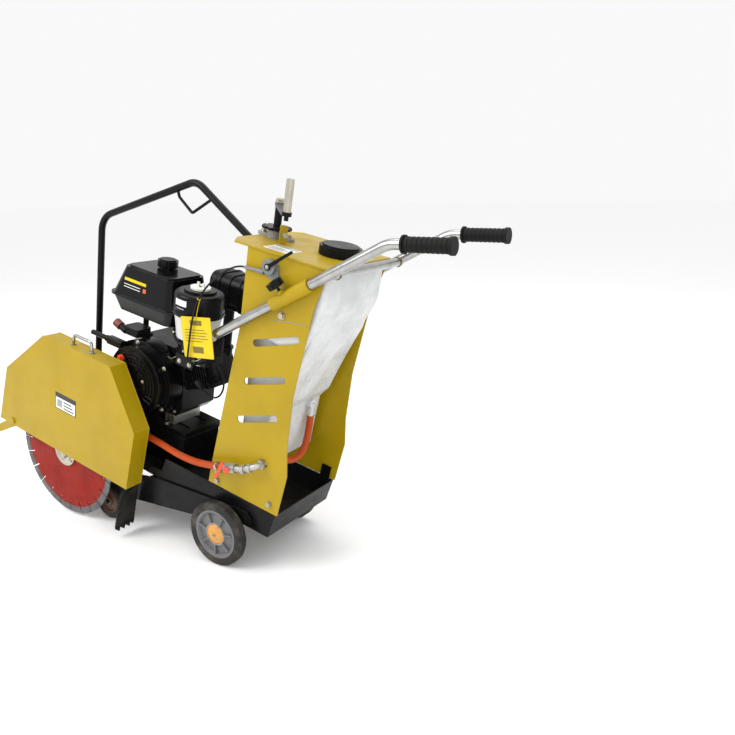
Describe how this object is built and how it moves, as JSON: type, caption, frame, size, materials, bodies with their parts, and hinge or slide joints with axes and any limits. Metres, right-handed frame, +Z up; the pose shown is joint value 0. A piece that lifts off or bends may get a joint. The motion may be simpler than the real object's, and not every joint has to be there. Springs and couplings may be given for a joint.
{
  "type": "walk-behind concrete saw",
  "caption": "Walk-behind concrete saw: petrol engine on a steel tray, guarded water-cooled blade, slotted console with water tank, hand crank depth screw, telescoping handlebar.",
  "frame": {"origin": "on the ground under the middle of the machine's length and width", "axes": "+X to the rear, towards the operator's grips; +Y to the operator's right, the belt side, with the blade on -Y; +Z up"},
  "size_m": [1.9099, 0.4385, 1.1226],
  "materials": {
    "black_steel": "semi-gloss black enamel, dusty and scuffed",
    "zinc_steel": "zinc plated steel",
    "alloy": "mill finish aluminium",
    "wheel_rubber": "solid grey-black rubber tread",
    "wheel_hub": "painted grey casting with an amber cap",
    "front_hub": "dark moulded hub",
    "cast_grey": "cast, bare grey",
    "yellow_paint": "semi-gloss yellow powder coat",
    "tank_plastic": "natural white polyethylene",
    "black_plastic": "black moulded plastic",
    "grey_plastic": "grey moulded plastic",
    "white_plastic": "white moulded plastic",
    "red_plastic": "red moulded plastic",
    "dark_red_plastic": "dark red moulded plastic",
    "chrome_tube": "bright zinc or chrome plated tube",
    "grip_rubber": "black rubber",
    "cable_black": "black sheathing",
    "flap_rubber": "black sheet rubber",
    "blade_red": "red enamelled steel core",
    "blade_segment": "sintered diamond segments",
    "belt_rubber": "black belt rubber",
    "engine_black": "black painted castings",
    "starter_black": "gloss black cover",
    "tank_black": "gloss black moulded tank with two plain stripes",
    "cleaner_grey": "light grey plastic",
    "muffler_black": "heat-resistant black paint",
    "galvanised": "galvanised fittings",
    "orange_hose": "orange water hose",
    "tag_yellow": "laminated tag"
  },
  "bodies": {
    "chassis": {"chassis_tray": "black_steel", "engine_rails": "alloy", "rear_axle": "zinc_steel", "shaft_bearings": "cast_grey", "blade_guard": "yellow_paint", "guard_handle": "chrome_tube", "splash_flap": "flap_rubber", "roll_bar": "black_steel", "crank_housing": "cast_grey", "near_side_panel": "yellow_paint", "far_side_panel": "yellow_paint", "top_plate": "yellow_paint", "water_tank": "tank_plastic", "throttle_housing": "grey_plastic", "throttle_cable": "cable_black", "hang_tag": "tag_yellow", "water_fittings": "galvanised", "water_hoses": "orange_hose", "bolts": "zinc_steel", "belt_cover": "black_steel", "engine_block": "engine_black", "fuel_tank": "tank_black", "air_cleaner_bowl": "cleaner_grey", "air_cleaner_cover": "black_plastic", "muffler": "muffler_black", "recoil_starter": "starter_black", "ignition_lead": "cable_black", "drive_belts": "belt_rubber"},
    "near_rear_wheel": {"near_rear_tyre": "wheel_rubber", "near_rear_hub": "wheel_hub"},
    "far_rear_wheel": {"far_rear_tyre": "wheel_rubber", "far_rear_hub": "wheel_hub"},
    "swing_arm": {"swing_arm": "black_steel"},
    "near_front_wheel": {"near_front_tyre": "wheel_rubber", "near_front_hub": "front_hub"},
    "far_front_wheel": {"far_front_tyre": "wheel_rubber", "far_front_hub": "front_hub"},
    "depth_crank": {"depth_screw": "zinc_steel", "crank_arm": "black_steel"},
    "crank_grip": {"crank_grip": "zinc_steel"},
    "depth_nut": {"depth_nut": "zinc_steel"},
    "index_pin": {"index_pin": "zinc_steel"},
    "blade": {"blade_core": "blade_red", "blade_rim": "blade_segment", "blade_shaft": "zinc_steel", "arbor_flanges": "zinc_steel"},
    "engine_pulley": {"engine_pulley": "cast_grey"},
    "handlebar": {"handlebar": "chrome_tube", "handle_grips": "grip_rubber"},
    "near_star_knob": {"near_star_knob": "black_plastic"},
    "far_star_knob": {"far_star_knob": "black_plastic"},
    "throttle_lever": {"throttle_lever": "black_plastic"},
    "valve_lever": {"valve_lever": "red_plastic"},
    "pointer_arm": {"pointer_arm": "yellow_paint"},
    "tank_cap": {"tank_cap": "black_plastic"},
    "fuel_cap": {"fuel_cap": "black_plastic"},
    "air_cleaner_knob": {"air_cleaner_knob": "white_plastic"},
    "oil_cap": {"oil_cap": "dark_red_plastic"},
    "recoil_handle": {"recoil_handle": "black_plastic"},
    "engine_switch": {"engine_switch": "red_plastic"}
  },
  "joints": [
    {"name": "near_rear_wheel_spin", "type": "hinge", "parent": "chassis", "child": "near_rear_wheel", "pos_m": [0.2032, -0.1592, 0.1], "axis": [0, 1, 0], "continuous": true},
    {"name": "far_rear_wheel_spin", "type": "hinge", "parent": "chassis", "child": "far_rear_wheel", "pos_m": [0.2032, 0.1948, 0.1], "axis": [0, 1, 0], "continuous": true},
    {"name": "arm_pivot", "type": "hinge", "parent": "chassis", "child": "swing_arm", "pos_m": [0.28726, 0.0178, 0.15881], "axis": [0, 1, 0], "range_deg": [0, 12]},
    {"name": "near_front_wheel_spin", "type": "hinge", "parent": "swing_arm", "child": "near_front_wheel", "pos_m": [-0.33639, -0.1132, 0.06251], "axis": [0, 1, 0], "continuous": true},
    {"name": "far_front_wheel_spin", "type": "hinge", "parent": "swing_arm", "child": "far_front_wheel", "pos_m": [-0.33639, 0.1488, 0.06251], "axis": [0, 1, 0], "continuous": true},
    {"name": "crank_turn", "type": "hinge", "parent": "chassis", "child": "depth_crank", "pos_m": [0.33933, 0.0178, 0.98095], "axis": [0.2079, 0, 0.9781], "range_deg": [0, 1908]},
    {"name": "crank_grip_spin", "type": "hinge", "parent": "depth_crank", "child": "crank_grip", "pos_m": [0.46789, -0.08629, 1.0763], "axis": [0.2079, 0, 0.9781], "continuous": true},
    {"name": "nut_slide", "type": "slide", "parent": "chassis", "child": "depth_nut", "axis": [0.2079, 0, 0.9781], "range_m": [0, 0.0265]},
    {"name": "index_pin_slide", "type": "slide", "parent": "chassis", "child": "index_pin", "axis": [0.7666, -0.6211, -0.1629], "range_m": [-0.007, 0]},
    {"name": "blade_spin", "type": "hinge", "parent": "chassis", "child": "blade", "pos_m": [-0.46591, -0.1722, 0.23711], "axis": [0, 1, 0], "continuous": true},
    {"name": "engine_pulley_spin", "type": "hinge", "parent": "chassis", "child": "engine_pulley", "pos_m": [-0.14858, 0.1878, 0.51317], "axis": [0, 1, 0], "continuous": true},
    {"name": "handlebar_slide", "type": "slide", "parent": "chassis", "child": "handlebar", "axis": [0.9033, 0, 0.4289], "range_m": [0, 0.15]},
    {"name": "near_star_knob_turn", "type": "hinge", "parent": "chassis", "child": "near_star_knob", "pos_m": [0.48562, -0.1452, 0.82227], "axis": [-0.4031, -0.342, 0.8489], "continuous": true},
    {"name": "far_star_knob_turn", "type": "hinge", "parent": "chassis", "child": "far_star_knob", "pos_m": [0.48562, 0.1808, 0.82227], "axis": [-0.4031, 0.342, 0.8489], "continuous": true},
    {"name": "throttle_lever_turn", "type": "hinge", "parent": "chassis", "child": "throttle_lever", "pos_m": [0.43641, -0.1482, 0.89897], "axis": [0, 1, 0], "range_deg": [-35, 25]},
    {"name": "valve_lever_turn", "type": "hinge", "parent": "chassis", "child": "valve_lever", "pos_m": [0.27483, -0.1792, 0.32155], "axis": [0, 1, 0], "range_deg": [0, 90]},
    {"name": "pointer_arm_lift", "type": "hinge", "parent": "chassis", "child": "pointer_arm", "pos_m": [-0.70149, -0.1752, 0.31683], "axis": [0, 1, 0], "range_deg": [0, 75]},
    {"name": "tank_cap_turn", "type": "hinge", "parent": "chassis", "child": "tank_cap", "pos_m": [0.54175, 0.0318, 0.93281], "axis": [0.2079, 0, 0.9781], "continuous": true},
    {"name": "fuel_cap_turn", "type": "hinge", "parent": "chassis", "child": "fuel_cap", "pos_m": [-0.05811, -0.0222, 0.87629], "axis": [0.2079, 0, 0.9781], "range_deg": [0, 90]},
    {"name": "air_cleaner_knob_turn", "type": "hinge", "parent": "chassis", "child": "air_cleaner_knob", "pos_m": [0.14404, -0.0942, 0.82208], "axis": [0.2079, 0, 0.9781], "continuous": true},
    {"name": "oil_cap_turn", "type": "hinge", "parent": "chassis", "child": "oil_cap", "pos_m": [-0.23511, -0.0782, 0.67366], "axis": [-0.8545, 0, 0.5194], "continuous": true},
    {"name": "recoil_handle_pull", "type": "slide", "parent": "chassis", "child": "recoil_handle", "axis": [-0.9781, 0, 0.2079], "range_m": [0, 0.06], "stiffness_N_per_m": 60, "springref_m": -0.02},
    {"name": "engine_switch_turn", "type": "hinge", "parent": "chassis", "child": "engine_switch", "pos_m": [-0.18398, -0.1322, 0.58714], "axis": [0, 1, 0], "range_deg": [-45, 45]}
  ],
  "couplings": [
    {"joint": "arm_pivot", "follows": "crank_turn", "ratio": 0.00628},
    {"joint": "nut_slide", "follows": "crank_turn", "m_per_rad": 0.000795},
    {"joint": "engine_pulley_spin", "follows": "blade_spin", "ratio": 0.8065}
  ]
}
